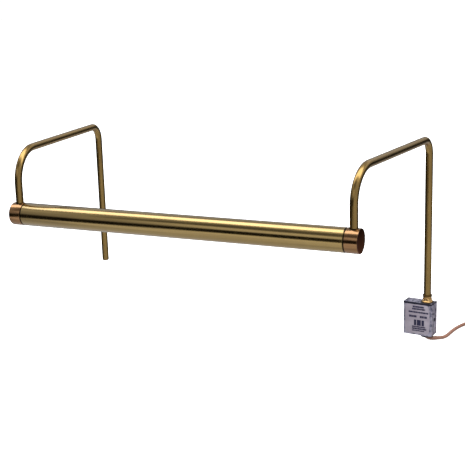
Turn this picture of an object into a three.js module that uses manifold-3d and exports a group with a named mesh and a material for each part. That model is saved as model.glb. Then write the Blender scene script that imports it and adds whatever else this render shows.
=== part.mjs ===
// Two-arm picture light: a brushed brass cylinder shade between two bronze end caps, held by
// bent tube arms that hook over the top of a picture and run down behind it, with a small
// wiring box and its lead on the right arm. Millimetres, +Z up, +X along the shade to the
// right, +Y towards the wall. The origin is midway between the two drop tubes, at the
// height where the brackets on the back of the picture frame hold them.

import * as THREE from 'three';
import { mergeVertices } from 'three/addons/utils/BufferGeometryUtils.js';
import Module from 'manifold-3d';

const wasm = await Module();
wasm.setup();

// ---------------------------------------------------------------- driving dimensions

const GAP = 0.3;                  // clearance kept between touching pieces
const DEGREE = Math.PI / 180;

const OVERALL_LENGTH = 609.6;     // across the two end caps, 24 in
const SHADE_RADIUS = 19.05;       // 1.5 in tube
const SHADE_WALL = 1.0;
const SHADE_Z = 30;               // shade axis above the origin
const SLOT_DIRECTION = -45;       // middle of the light slot, degrees from +Y about +X
const SLOT_HALF_ANGLE = 50;
const CAP_LENGTH = 22.2;
const SEAM = 1.8;                 // open line between cap and shade

const TUBE_RADIUS = 6.35;         // arm tube, 1/2 in
const TUBE_BORE = 5.15;
const LEG_INSET = 12.1;           // leg axis from the cap's outer face
const REACH = 305;                // leg axis to drop axis
const RISE = 104.4;               // shade axis to the centre of the top run
const FRONT_BEND = 53.5;          // centreline radii
const BACK_BEND = 26;
const ARM_TURN = 5.67 * DEGREE;   // each arm is turned outwards in its cap
const LEFT_DROP_END = -129.3;     // lower ends of the tubes
const RIGHT_DROP_END = -138;

const NIPPLE_RADIUS = 4.85;       // threaded lamp pipe inside each tube end
const NIPPLE_BORE = 3.6;
const NIPPLE_HOLE = NIPPLE_RADIUS + GAP;

const BOX_TOP = -150.4;
const BOX_HEIGHT = 58.1;
const BOX_LEFT = -38.9;           // from the drop axis, across the box
const BOX_RIGHT = 13;
const BOX_DEPTH = 25;
const SHEET = 1.2;

const FLOOR = -221.3;             // the surface under the box that the lead lies on
const CORD_RADIUS = 3.1;
const CORD_Z = FLOOR + CORD_RADIUS + 0.05;

const END_X = OVERALL_LENGTH / 2;
const LEG_X = END_X - LEG_INSET;
const SHADE_Y = -REACH * Math.cos(ARM_TURN);
const DROP_X = LEG_X + REACH * Math.sin(ARM_TURN);
const BOX_BOTTOM = BOX_TOP - BOX_HEIGHT;

// ---------------------------------------------------------------- materials

function finish(color, roughness, metalness) {
  return new THREE.MeshStandardMaterial({ color, roughness, metalness });
}

const brushedBrass = finish(0x9c8450, 0.38, 1);
const bronze = finish(0x8a6446, 0.32, 1);
const darkBronze = finish(0x33241c, 0.5, 0.9);
const antiqueBrass = finish(0x86703c, 0.4, 1);
const polishedBrass = finish(0xc89a50, 0.2, 1);
const zincSteel = finish(0x9c99a8, 0.45, 0.9);
const labelFilm = finish(0xa8a4b0, 0.6, 0.2);
const steel = finish(0xb4b4b4, 0.35, 1);
const whiteEnamel = finish(0xeeeae0, 0.5, 0);
const porcelain = finish(0xe8e4da, 0.35, 0);
const lampGlass = finish(0xf4ecd8, 0.2, 0);
const blackNylon = finish(0x1a1a20, 0.5, 0);
const tanVinyl = finish(0x9c6c56, 0.55, 0);
const orangePlastic = finish(0xc8642a, 0.45, 0);
const greenSteel = finish(0x3c7848, 0.4, 0.6);

// ---------------------------------------------------------------- geometry helpers

const light = new THREE.Group();

function add(name, geometry, material, parent = light) {
  const mesh = new THREE.Mesh(geometry, material);
  mesh.name = name;
  parent.add(mesh);
  return mesh;
}

function toSolid(geometry) {
  const bare = geometry.clone();
  bare.deleteAttribute('normal');
  bare.deleteAttribute('uv');
  const merged = mergeVertices(bare, 1e-4);
  const vertProperties = Float32Array.from(merged.attributes.position.array);
  const triVerts = Uint32Array.from(merged.index.array);
  return new wasm.Manifold(new wasm.Mesh({ numProp: 3, vertProperties, triVerts }));
}

function toGeometry(solid) {
  const mesh = solid.getMesh();
  const geometry = new THREE.BufferGeometry();
  geometry.setAttribute('position', new THREE.BufferAttribute(mesh.vertProperties, 3));
  geometry.setIndex(new THREE.BufferAttribute(mesh.triVerts, 1));
  return geometry;
}

function cut(body, ...tools) {
  let solid = toSolid(body);
  for (const tool of tools) {
    solid = solid.subtract(toSolid(tool));
  }
  return toGeometry(solid);
}

function join(body, ...others) {
  let solid = toSolid(body);
  for (const other of others) {
    solid = solid.add(toSolid(other));
  }
  return toGeometry(solid);
}

// A box between two corners.
function block(x0, x1, y0, y1, z0, z1) {
  const geometry = new THREE.BoxGeometry(x1 - x0, y1 - y0, z1 - z0);
  geometry.translate((x0 + x1) / 2, (y0 + y1) / 2, (z0 + z1) / 2);
  return geometry;
}

// A solid of revolution about Z from [radius, z] corners, listed from the bottom outwards
// and up. A profile off the axis is closed into a ring.
function turnedZ(corners, segments = 24) {
  const points = corners.map(([radius, z]) => new THREE.Vector2(radius, z));
  if (corners[0][0] > 0) {
    points.push(points[0].clone());
  }
  const geometry = new THREE.LatheGeometry(points, segments);
  geometry.rotateX(Math.PI / 2);
  return geometry;
}

// The same about X, from [radius, x] corners that run towards +X.
function turnedX(corners, segments = 24) {
  const geometry = turnedZ(corners, segments);
  geometry.rotateY(Math.PI / 2);
  return geometry;
}

function ringZ(inner, outer, z0, z1, segments = 24) {
  return turnedZ([[inner, z0], [outer, z0], [outer, z1], [inner, z1]], segments);
}

function rodZ(radius, z0, z1, segments = 20) {
  return turnedZ([[0, z0], [radius, z0], [radius, z1], [0, z1]], segments);
}

function ringX(inner, outer, x0, x1, segments = 24) {
  return turnedX([[inner, x0], [outer, x0], [outer, x1], [inner, x1]], segments);
}

function rodX(radius, x0, x1, segments = 20) {
  return turnedX([[0, x0], [radius, x0], [radius, x1], [0, x1]], segments);
}

// A flat outline drawn as (y, z) and pushed out along X.
function pushedAlongX(shape, x0, x1, curveSegments = 10) {
  const geometry = new THREE.ExtrudeGeometry(shape, {
    depth: x1 - x0,
    bevelEnabled: false,
    curveSegments,
  });
  const turn = new THREE.Matrix4().makeBasis(
    new THREE.Vector3(0, 1, 0),
    new THREE.Vector3(0, 0, 1),
    new THREE.Vector3(1, 0, 0),
  );
  geometry.applyMatrix4(turn);
  geometry.translate(x0, 0, 0);
  return geometry;
}

// A flat outline drawn as (x, y) and pushed up along Z.
function pushedUp(shape, z0, z1, curveSegments = 10) {
  const geometry = new THREE.ExtrudeGeometry(shape, {
    depth: z1 - z0,
    bevelEnabled: false,
    curveSegments,
  });
  geometry.translate(0, 0, z0);
  return geometry;
}

function polygon(corners) {
  return new THREE.Shape(corners.map(([x, y]) => new THREE.Vector2(x, y)));
}

// A polygon of equal sides whose flats are acrossFlats apart.
function hexagon(acrossFlats, bore) {
  const corner = acrossFlats / Math.sqrt(3);
  const corners = [];
  for (let i = 0; i < 6; i += 1) {
    const angle = (i + 0.5) * 60 * DEGREE;
    corners.push([corner * Math.cos(angle), corner * Math.sin(angle)]);
  }
  const shape = polygon(corners);
  const hole = new THREE.Path();
  hole.absarc(0, 0, bore, 0, 2 * Math.PI, true);
  shape.holes.push(hole);
  return shape;
}

function circle(radius, bore = 0) {
  const shape = new THREE.Shape();
  shape.absarc(0, 0, radius, 0, 2 * Math.PI, false);
  if (bore > 0) {
    const hole = new THREE.Path();
    hole.absarc(0, 0, bore, 0, 2 * Math.PI, true);
    shape.holes.push(hole);
  }
  return shape;
}

// A sheet bent round the shade axis: an arc of ring from one angle to another, in (y, z).
function bentSheet(outer, inner, from, to) {
  const shape = new THREE.Shape();
  shape.absarc(0, 0, outer, from * DEGREE, to * DEGREE, false);
  shape.lineTo(inner * Math.cos(to * DEGREE), inner * Math.sin(to * DEGREE));
  shape.absarc(0, 0, inner, to * DEGREE, from * DEGREE, true);
  return shape;
}

// A curve through stations that may be any distance apart, one step of a sweep per station.
class StationCurve extends THREE.Curve {
  constructor(stations) {
    super();
    this.stations = stations;
  }

  getPoint(t, target = new THREE.Vector3()) {
    const last = this.stations.length - 1;
    const place = Math.min(Math.max(t, 0), 1) * last;
    const index = Math.min(Math.floor(place), last - 1);
    return target.lerpVectors(this.stations[index], this.stations[index + 1], place - index);
  }

  getUtoTmapping(u) {
    return u;
  }
}

function sweep(shape, stations, sides) {
  return new THREE.ExtrudeGeometry(shape, {
    steps: stations.length - 1,
    extrudePath: new StationCurve(stations),
    curveSegments: sides,
    bevelEnabled: false,
  });
}

// Stations of a quarter bend in the plane x = 0, about a centre, between two angles.
function bend(centreY, centreZ, radius, from, to, steps) {
  const stations = [];
  for (let i = 0; i <= steps; i += 1) {
    const angle = (from + ((to - from) * i) / steps) * DEGREE;
    const y = centreY + radius * Math.cos(angle);
    const z = centreZ + radius * Math.sin(angle);
    stations.push(new THREE.Vector3(0, y, z));
  }
  return stations;
}

// Stations of a lead through hand-placed points, at about the spacing asked for. A short
// first and last step keeps the end faces square to the curve.
function leadStations(points, spacing) {
  const curve = new THREE.CatmullRomCurve3(points, false, 'centripetal');
  const length = curve.getLength();
  const steps = Math.max(2, Math.round(length / spacing));
  const stations = curve.getSpacedPoints(steps);
  const short = 1 / length;
  stations.splice(1, 0, curve.getPointAt(short));
  stations.splice(-1, 0, curve.getPointAt(1 - short));
  return stations;
}

// ---------------------------------------------------------------- shade ends

// Everything below is drawn for the right-hand end, in a group on the shade axis; the left
// end is the same group turned half round about the vertical.
const CAP_WALL_END = 3;
const CAP_POCKET = 15.5;
const SPOT_FACE = 17.2;           // flat that the arm's leg sits on, above the shade axis
const PLATE_FROM = 21.8;          // distances in from the cap's outer face
const PLATE_TO = 19.2;
const PIVOT_RADIUS = 6;
const PIVOT_BORE = 4;
const PIVOT_END = 30;
const DISC_FROM = 23.8;
const DISC_TO = 25.3;

function addShadeEnd(side, turn) {
  const end = new THREE.Group();
  end.position.set(0, SHADE_Y, SHADE_Z);
  end.rotation.z = turn;
  light.add(end);

  const edge = 0.9;
  const mouth = END_X - CAP_LENGTH;
  const cup = turnedX([
    [CAP_POCKET, mouth],
    [SHADE_RADIUS, mouth],
    [SHADE_RADIUS, END_X - edge],
    [SHADE_RADIUS - edge * 0.3, END_X - edge * 0.3],
    [SHADE_RADIUS - edge, END_X],
    [0, END_X],
    [0, END_X - CAP_WALL_END],
    [CAP_POCKET, END_X - CAP_WALL_END],
  ], 40);
  const legSeat = rodZ(TUBE_RADIUS + GAP, SPOT_FACE, SHADE_RADIUS + 5);
  const legHole = rodZ(NIPPLE_HOLE, 8, SPOT_FACE + 1);
  legSeat.translate(LEG_X, 0, 0);
  legHole.translate(LEG_X, 0, 0);
  add(`${side}_end_cap`, cut(cup, legSeat, legHole), bronze, end);

  add(`${side}_pivot_plate`, turnedX([
    [PIVOT_BORE, END_X - PIVOT_END],
    [PIVOT_RADIUS, END_X - PIVOT_END],
    [PIVOT_RADIUS, END_X - PLATE_FROM],
    [CAP_POCKET - GAP, END_X - PLATE_FROM],
    [CAP_POCKET - GAP, END_X - PLATE_TO],
    [PIVOT_BORE, END_X - PLATE_TO],
  ]), darkBronze, end);

  const washer = ringX(PIVOT_RADIUS + GAP, 11, END_X - 23.4, END_X - 22.2);
  add(`${side}_friction_washer`, washer, steel, end);

  const discRim = SHADE_RADIUS - SHADE_WALL - GAP;
  add(`${side}_shade_disc`, turnedX([
    [PIVOT_RADIUS + GAP, END_X - DISC_TO],
    [discRim - 1.2, END_X - DISC_TO],
    [discRim - 1.2, END_X - DISC_TO - 7],
    [discRim, END_X - DISC_TO - 7],
    [discRim, END_X - DISC_FROM],
    [PIVOT_RADIUS + GAP, END_X - DISC_FROM],
  ]), brushedBrass, end);

  const nut = pushedAlongX(hexagon(16, PIVOT_RADIUS + GAP), END_X - 28.9, END_X - 25.7);
  add(`${side}_pivot_nut`, nut, steel, end);
}

// ---------------------------------------------------------------- shade and lamps

const LAMP_COUNT = 3;
const LAMP_PITCH = 178;
const HOLDER_LENGTH = 28;
const HOLDER_RADIUS = 11;
const LAMP_RADIUS = 10.3;
const LAMP_LENGTH = 122;          // glass beyond the holder
const LAMP_BASE_RADIUS = 8;
const LAMP_BASE_LENGTH = 18;
const LAMP_OFFSET = 2;            // lamp axis from the shade axis, towards the slot
const RAIL_OUTER = 15.2;
const RAIL_INNER = 13.8;

function addShade() {
  const shade = new THREE.Group();
  shade.position.set(0, SHADE_Y, SHADE_Z);
  light.add(shade);

  const tubeEnd = END_X - CAP_LENGTH - SEAM;
  const slotTo = SLOT_DIRECTION + SLOT_HALF_ANGLE;
  const slotFrom = SLOT_DIRECTION - SLOT_HALF_ANGLE + 360;
  const skin = bentSheet(SHADE_RADIUS, SHADE_RADIUS - SHADE_WALL, slotTo, slotFrom);
  add('shade_tube', pushedAlongX(skin, -tubeEnd, tubeEnd, 36), brushedBrass, shade);

  // The rest is drawn with the slot facing straight down (-Z) and turned to the slot.
  const inside = new THREE.Group();
  inside.rotation.x = (SLOT_DIRECTION + 90) * DEGREE;
  shade.add(inside);

  const linerOuter = SHADE_RADIUS - SHADE_WALL - 0.4;
  const liner = bentSheet(linerOuter, linerOuter - 0.8, 0, 180);
  add('reflector', pushedAlongX(liner, -266, 266, 20), whiteEnamel, inside);
  add('lamp_rail', block(-264, 264, -6, 6, RAIL_INNER, RAIL_OUTER), steel, inside);

  const first = -(LAMP_PITCH * (LAMP_COUNT - 1) + HOLDER_LENGTH + LAMP_LENGTH) / 2;
  for (let i = 0; i < LAMP_COUNT; i += 1) {
    const x0 = first + i * LAMP_PITCH;
    const x1 = x0 + HOLDER_LENGTH;
    const barrel = rodX(HOLDER_RADIUS, x0, x1, 32);
    barrel.translate(0, 0, -LAMP_OFFSET);
    const foot = block(x0 + 4, x0 + 18, -5, 5, 4, RAIL_INNER - GAP);
    const socket = rodX(LAMP_BASE_RADIUS + GAP, x1 - LAMP_BASE_LENGTH - 1, x1 + 1, 24);
    socket.translate(0, 0, -LAMP_OFFSET);
    add(`lampholder_${i + 1}`, cut(join(barrel, foot), socket), porcelain, inside);

    const tip = x1 + GAP + LAMP_LENGTH;
    const profile = [
      [0, x1 - LAMP_BASE_LENGTH],
      [LAMP_BASE_RADIUS * 0.6, x1 - LAMP_BASE_LENGTH],
      [LAMP_BASE_RADIUS, x1 - LAMP_BASE_LENGTH + 3],
      [LAMP_BASE_RADIUS, x1 + GAP],
      [LAMP_RADIUS, x1 + 5],
    ];
    const domeSteps = 4;
    for (let step = 0; step <= domeSteps; step += 1) {
      const angle = (step / domeSteps) * (Math.PI / 2);
      const x = tip - LAMP_RADIUS + LAMP_RADIUS * Math.sin(angle);
      profile.push([step === domeSteps ? 0 : LAMP_RADIUS * Math.cos(angle), x]);
    }
    const lamp = turnedX(profile, 20);
    lamp.translate(0, 0, -LAMP_OFFSET);
    add(`tubular_lamp_${i + 1}`, lamp, lampGlass, inside);
  }

  // The lamp lead comes off the pivot axis and runs beside the lamps to the far holder.
  const side = 11.6;
  const above = 9.2;
  const start = END_X - PIVOT_END - 2;
  const route = [
    new THREE.Vector3(start, 0, 0),
    new THREE.Vector3(start - 5, 0, 0),
    new THREE.Vector3(start - 13, side * 0.55, above * 0.5),
    new THREE.Vector3(start - 22, side, above),
    new THREE.Vector3(start - 34, side, above),
    new THREE.Vector3(start - 60, side, above),
    new THREE.Vector3(100, side, above),
    new THREE.Vector3(-60, side, above),
    new THREE.Vector3(first + HOLDER_LENGTH + 14, side, above),
  ];
  const lead = sweep(circle(1.3), leadStations(route, 22), 4);
  add('lamp_lead', lead, whiteEnamel, inside);
}

// ---------------------------------------------------------------- arms

function armRoute(dropEnd) {
  return [
    new THREE.Vector3(0, 0, SPOT_FACE + GAP),
    ...bend(FRONT_BEND, RISE - FRONT_BEND, FRONT_BEND, 180, 90, 10),
    ...bend(REACH - BACK_BEND, RISE - BACK_BEND, BACK_BEND, 90, 0, 6),
    new THREE.Vector3(0, REACH, dropEnd - SHADE_Z),
  ];
}

function addArm(side, sign, dropEnd) {
  const arm = new THREE.Group();
  arm.position.set(sign * LEG_X, SHADE_Y, SHADE_Z);
  arm.rotation.z = -sign * ARM_TURN;
  light.add(arm);

  const pipe = sweep(circle(TUBE_RADIUS, TUBE_BORE), armRoute(dropEnd), 9);
  add(`${side}_arm`, pipe, antiqueBrass, arm);

  const nippleBottom = 8.5;
  const nipple = ringZ(NIPPLE_BORE, NIPPLE_RADIUS, nippleBottom, SPOT_FACE + 20);
  add(`${side}_leg_nipple`, nipple, steel, arm);
  const nut = pushedUp(hexagon(12.8, NIPPLE_HOLE), nippleBottom + 0.6, nippleBottom + 4.2);
  nut.rotateZ(sign * ARM_TURN);
  add(`${side}_leg_nut`, nut, polishedBrass, arm);
  return arm;
}

function addLeftPlug(arm) {
  const top = LEFT_DROP_END - SHADE_Z;
  const button = turnedZ([
    [0, top - 2.7],
    [TUBE_RADIUS - 1.2, top - 2.5],
    [TUBE_RADIUS - 0.3, top - 1.5],
    [TUBE_RADIUS - 0.3, top - GAP],
    [TUBE_BORE - GAP, top - GAP],
    [TUBE_BORE - GAP, top + 7],
    [0, top + 7],
  ]);
  button.translate(0, REACH, 0);
  add('left_arm_end_plug', button, antiqueBrass, arm);
}

// The supply lead inside the right arm, from the wiring box to the shade's pivot.
function addArmLead(arm) {
  const inner = new THREE.Vector3(-PIVOT_END + LEG_INSET, 0, 0);
  const turned = inner.clone().applyAxisAngle(new THREE.Vector3(0, 0, 1), ARM_TURN);
  const start = [
    turned,
    turned.clone().multiplyScalar(0.75),
    turned.clone().multiplyScalar(0.42),
    turned.clone().multiplyScalar(0.15).setZ(2),
    new THREE.Vector3(0, 0, 7),
    new THREE.Vector3(0, 0, SPOT_FACE),
  ];
  const route = [...start, ...armRoute(BOX_TOP - 14).slice(1)];
  add('arm_lead', sweep(circle(1.9), route, 4), whiteEnamel, arm);
}

// ---------------------------------------------------------------- wiring box

const NECK = 6;                   // cord bushing through the box's floor
const SCREW_Z = BOX_TOP - 29.7;
const SCREW_Y = -0.5;
const FLANGE = 14;                // the cover's side flanges, from its face

function addFitting(drop) {
  const bottom = RIGHT_DROP_END - GAP;
  add('fitting_collar', turnedZ([
    [NIPPLE_HOLE, bottom - 1.2],
    [8.0, bottom - 1.2],
    [8.0, bottom + 1.6],
    [7.7, bottom + 1.9],
    [TUBE_RADIUS + GAP, bottom + 1.9],
    [TUBE_RADIUS + GAP, bottom],
    [NIPPLE_HOLE, bottom],
  ], 36), darkBronze, drop);

  const ringTop = bottom - 1.2 - GAP;
  const ringBottom = ringTop - 3.2;
  const ring = ringZ(NIPPLE_HOLE, 7.6, ringBottom, ringTop, 36);
  add('fitting_ring', ring, polishedBrass, drop);

  const nutTop = ringBottom - GAP;
  const nutBottom = BOX_TOP + GAP;
  const flare = turnedZ([
    [NIPPLE_HOLE, nutBottom],
    [9.2, nutBottom],
    [9.9, nutBottom + 1.2],
    [9.9, nutBottom + 3.2],
    [8.0, nutTop],
    [NIPPLE_HOLE, nutTop],
  ], 36);
  const prism = pushedUp(hexagon(17.6, NIPPLE_HOLE - 0.2), nutBottom - 1, nutTop + 1);
  const nut = toGeometry(toSolid(flare).intersect(toSolid(prism)));
  add('fitting_nut', nut, polishedBrass, drop);

  const nipple = ringZ(NIPPLE_BORE, NIPPLE_RADIUS, BOX_TOP - 8, RIGHT_DROP_END + 14);
  add('box_nipple', nipple, steel, drop);
  const lock = pushedUp(hexagon(15, NIPPLE_HOLE), BOX_TOP - SHEET - 3.8, BOX_TOP - SHEET - GAP);
  add('box_lock_nut', lock, steel, drop);
}

function addBox(drop) {
  const back = BOX_DEPTH / 2;
  const front = -back;
  const shellFront = front + SHEET + GAP;
  const outside = block(BOX_LEFT, BOX_RIGHT, shellFront, back, BOX_BOTTOM, BOX_TOP);
  const inside = block(
    BOX_LEFT + SHEET, BOX_RIGHT - SHEET,
    shellFront - 1, back - SHEET,
    BOX_BOTTOM + SHEET, BOX_TOP - SHEET,
  );
  const nippleHole = rodZ(NIPPLE_HOLE, BOX_TOP - 3, BOX_TOP + 1);
  const bushingHole = rodZ(NECK + GAP, BOX_BOTTOM - 1, BOX_BOTTOM + 3);
  const screwHoles = rodX(1.9, BOX_LEFT - 1, BOX_RIGHT + 1, 16);
  screwHoles.translate(0, SCREW_Y, SCREW_Z);
  const groundHole = rodX(1.9, 0, 6, 16);
  groundHole.rotateZ(Math.PI / 2);
  groundHole.translate(-26, back - 3, BOX_BOTTOM + 14);
  const shell = cut(outside, inside, nippleHole, bushingHole, screwHoles, groundHole);
  add('box_body', shell, zincSteel, drop);

  // The front cover is a sheet with a flange folded back inside each side of the box.
  const left = BOX_LEFT + SHEET + GAP;
  const right = BOX_RIGHT - SHEET - GAP;
  const folded = polygon([
    [BOX_LEFT, front],
    [BOX_RIGHT, front],
    [BOX_RIGHT, front + SHEET],
    [right, front + SHEET],
    [right, front + FLANGE],
    [right - SHEET, front + FLANGE],
    [right - SHEET, front + SHEET],
    [left + SHEET, front + SHEET],
    [left + SHEET, front + FLANGE],
    [left, front + FLANGE],
    [left, front + SHEET],
    [BOX_LEFT, front + SHEET],
  ]);
  const lip = block(BOX_LEFT, BOX_RIGHT, front, front + SHEET, BOX_BOTTOM, BOX_TOP);
  const flanges = pushedUp(folded, BOX_BOTTOM + SHEET + GAP, BOX_TOP - SHEET - GAP);
  add('box_cover', cut(join(flanges, lip), screwHoles), zincSteel, drop);

  const margin = 3;
  add('rating_label', block(
    BOX_LEFT + margin, BOX_RIGHT - margin,
    front - GAP - 0.4, front - GAP,
    BOX_BOTTOM + margin, BOX_TOP - margin,
  ), labelFilm, drop);

  for (const [name, sign, wall] of [['right', 1, BOX_RIGHT], ['left', -1, BOX_LEFT]]) {
    const screw = turnedX([
      [0, -5],
      [1.6, -5],
      [1.6, GAP],
      [3.2, GAP],
      [2.8, 1.5],
      [0, 1.9],
    ], 20);
    if (sign < 0) {
      screw.rotateZ(Math.PI);
    }
    screw.translate(wall, SCREW_Y, SCREW_Z);
    add(`${name}_cover_screw`, screw, steel, drop);
  }

  const ground = turnedX([
    [0, -5.5],
    [3.4, -5.2],
    [3.4, -SHEET - GAP],
    [1.6, -SHEET - GAP],
    [1.6, 0],
    [0, 0],
  ], 20);
  ground.rotateZ(Math.PI / 2);
  ground.translate(-26, back, BOX_BOTTOM + 14);
  add('ground_screw', ground, greenSteel, drop);

  for (let i = 0; i < 2; i += 1) {
    const connector = turnedZ([
      [0, 0],
      [4.6, 0],
      [5.0, 4],
      [3.2, 15],
      [0, 16],
    ], 16);
    connector.rotateX((i === 0 ? 1 : -1) * 12 * DEGREE);
    connector.translate(-11 - i * 12.5, 0, BOX_BOTTOM + 22);
    add(`wire_connector_${i + 1}`, connector, orangePlastic, drop);
  }
}

// A bushing: its neck snaps into the box's floor, its flange lies under it, and its snout
// slants down and turns the lead out along the surface below.
const SNOUT_HEADING = 35 * DEGREE;
const SNOUT_TIP = 18;
const ELBOW_RADIUS = 4;
const BUSHING_FLANGE = 11;
const SNOUT_Z = FLOOR + ELBOW_RADIUS + 0.05;

function addBushing() {
  const bushing = new THREE.Group();
  bushing.position.set(DROP_X, 0, 0);
  bushing.rotation.z = SNOUT_HEADING - Math.PI / 2;
  light.add(bushing);

  const under = BOX_BOTTOM - GAP;
  const flange = turnedZ([
    [0, under - 3],
    [BUSHING_FLANGE, under - 3],
    [BUSHING_FLANGE, under],
    [NECK, under],
    [NECK, BOX_BOTTOM + 4],
    [0, BOX_BOTTOM + 4],
  ]);
  const route = [
    new THREE.Vector3(0, -3.2, under - 0.5),
    new THREE.Vector3(0, 0, under - 3.8),
    new THREE.Vector3(0, 4, SNOUT_Z + 2.05),
    new THREE.Vector3(0, 9, SNOUT_Z + 0.55),
    new THREE.Vector3(0, 14, SNOUT_Z + 0.05),
    new THREE.Vector3(0, SNOUT_TIP, SNOUT_Z),
  ];
  const snout = sweep(circle(ELBOW_RADIUS), leadStations(route, 3), 8);
  add('cord_bushing', join(flange, snout), blackNylon, bushing);
}

// ---------------------------------------------------------------- lead

const SWITCH_FROM = 408;
const SWITCH_LENGTH = 56;
const SWITCH_Y = 139;
const SWITCH_CORD_Z = FLOOR + 5;
const COIL_X = 514;
const COIL_OUTER = 48.3;
const COIL_INNER = 22.9;
const COIL_HEIGHT = 12.6;
const COIL_TURN = 45;             // radius of the outermost turn
const COIL_Y = SWITCH_Y - COIL_TURN;
const PLUG_Z = FLOOR + 10;
const PLUG_Y = COIL_Y - COIL_TURN;
const PLUG_RELIEF = 482;          // where the plug's own relief starts
const CORD_STEP = 13;

function point([x, y, z]) {
  return new THREE.Vector3(x, y, z);
}

function addCordRun(name, points) {
  const tube = sweep(circle(CORD_RADIUS), leadStations(points.map(point), CORD_STEP), 5);
  add(name, tube, tanVinyl);
}

function addLead() {
  const switchTo = SWITCH_FROM + SWITCH_LENGTH;
  addCordRun('cord_from_box', [
    [337.9, 10.5, SNOUT_Z],
    [339.6, 11.7, SNOUT_Z - 0.1],
    [344.5, 16.2, CORD_Z + 0.4],
    [348.1, 22.0, CORD_Z],
    [350.4, 29.8, CORD_Z],
    [352.0, 42.5, CORD_Z],
    [353.4, 55.0, CORD_Z],
    [355.3, 68.0, CORD_Z],
    [358.4, 82.0, CORD_Z],
    [363.4, 97.0, CORD_Z],
    [371.0, 112.0, CORD_Z],
    [381.5, 125.5, CORD_Z],
    [394.0, 135.0, CORD_Z + 0.9],
    [SWITCH_FROM - 5, SWITCH_Y, SWITCH_CORD_Z],
    [SWITCH_FROM - GAP, SWITCH_Y, SWITCH_CORD_Z],
  ]);
  addCordRun('cord_to_coil', [
    [switchTo + GAP, SWITCH_Y, SWITCH_CORD_Z],
    [switchTo + 9, SWITCH_Y, SWITCH_CORD_Z - 0.9],
    [COIL_X - 32, SWITCH_Y, CORD_Z],
    [COIL_X - 25, SWITCH_Y, CORD_Z],
  ]);
  const ring = ringZ(COIL_INNER, COIL_OUTER, FLOOR, FLOOR + COIL_HEIGHT, 40);
  ring.translate(COIL_X, COIL_Y, 0);
  add('cord_coil', ring, tanVinyl);
  addCordRun('cord_to_plug', [
    [COIL_X - 25, PLUG_Y, PLUG_Z],
    [COIL_X - 28, PLUG_Y, PLUG_Z],
    [PLUG_RELIEF + GAP, PLUG_Y, PLUG_Z],
  ]);

  // A strap over the coil, open underneath where the coil lies on the surface.
  const near = COIL_INNER - 0.8;
  const far = COIL_OUTER + GAP;
  const over = FLOOR + COIL_HEIGHT + GAP;
  const strap = polygon([
    [near - 1.1, FLOOR],
    [near, FLOOR],
    [near, over],
    [far, over],
    [far, FLOOR],
    [far + 1.1, FLOOR],
    [far + 1.1, over + 1.1],
    [near - 1.1, over + 1.1],
  ]);
  const tie = pushedAlongX(strap, -4, 4);
  tie.rotateZ(-Math.PI / 2);
  tie.translate(COIL_X, COIL_Y, 0);
  add('cord_tie', tie, blackNylon);
}

const SWITCH_HALF_WIDTH = 12;
const SWITCH_HEIGHT = 15;
const WHEEL_RADIUS = 10;
const WHEEL_X = SWITCH_FROM + SWITCH_LENGTH / 2;
const WHEEL_Y = SWITCH_Y - 5;

// An in-line switch: two shells round a thumb wheel that stands out of the near side.
function addSwitch() {
  const outline = new THREE.Shape();
  const half = SWITCH_LENGTH / 2;
  outline.moveTo(-half, -4.6);
  outline.quadraticCurveTo(-half + 5, -SWITCH_HALF_WIDTH, -half + 15, -SWITCH_HALF_WIDTH);
  outline.lineTo(half - 15, -SWITCH_HALF_WIDTH);
  outline.quadraticCurveTo(half - 5, -SWITCH_HALF_WIDTH, half, -4.6);
  outline.lineTo(half, 4.6);
  outline.quadraticCurveTo(half - 5, SWITCH_HALF_WIDTH, half - 15, SWITCH_HALF_WIDTH);
  outline.lineTo(-half + 15, SWITCH_HALF_WIDTH);
  outline.quadraticCurveTo(-half + 5, SWITCH_HALF_WIDTH, -half, 4.6);
  outline.closePath();
  const middle = FLOOR + SWITCH_HEIGHT / 2;
  const pocket = rodZ(WHEEL_RADIUS + 0.8, middle - 3.6, middle + 3.6, 32);
  pocket.translate(0, WHEEL_Y - SWITCH_Y, 0);
  const halves = [
    ['switch_lower_shell', FLOOR, middle - GAP / 2],
    ['switch_upper_shell', middle + GAP / 2, FLOOR + SWITCH_HEIGHT],
  ];
  for (const [name, z0, z1] of halves) {
    const shell = cut(pushedUp(outline, z0, z1, 8), pocket);
    shell.translate(WHEEL_X, SWITCH_Y, 0);
    add(name, shell, tanVinyl);
  }

  const rim = new THREE.Shape();
  const teeth = 24;
  for (let i = 0; i < teeth * 2; i += 1) {
    const angle = (i * Math.PI) / teeth;
    const radius = WHEEL_RADIUS - (i % 2) * 0.6;
    const x = radius * Math.cos(angle);
    const y = radius * Math.sin(angle);
    if (i === 0) {
      rim.moveTo(x, y);
    } else {
      rim.lineTo(x, y);
    }
  }
  rim.closePath();
  const wheel = pushedUp(rim, middle - 3, middle + 3);
  wheel.translate(WHEEL_X, WHEEL_Y, 0);
  add('switch_wheel', wheel, blackNylon);
}

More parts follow.
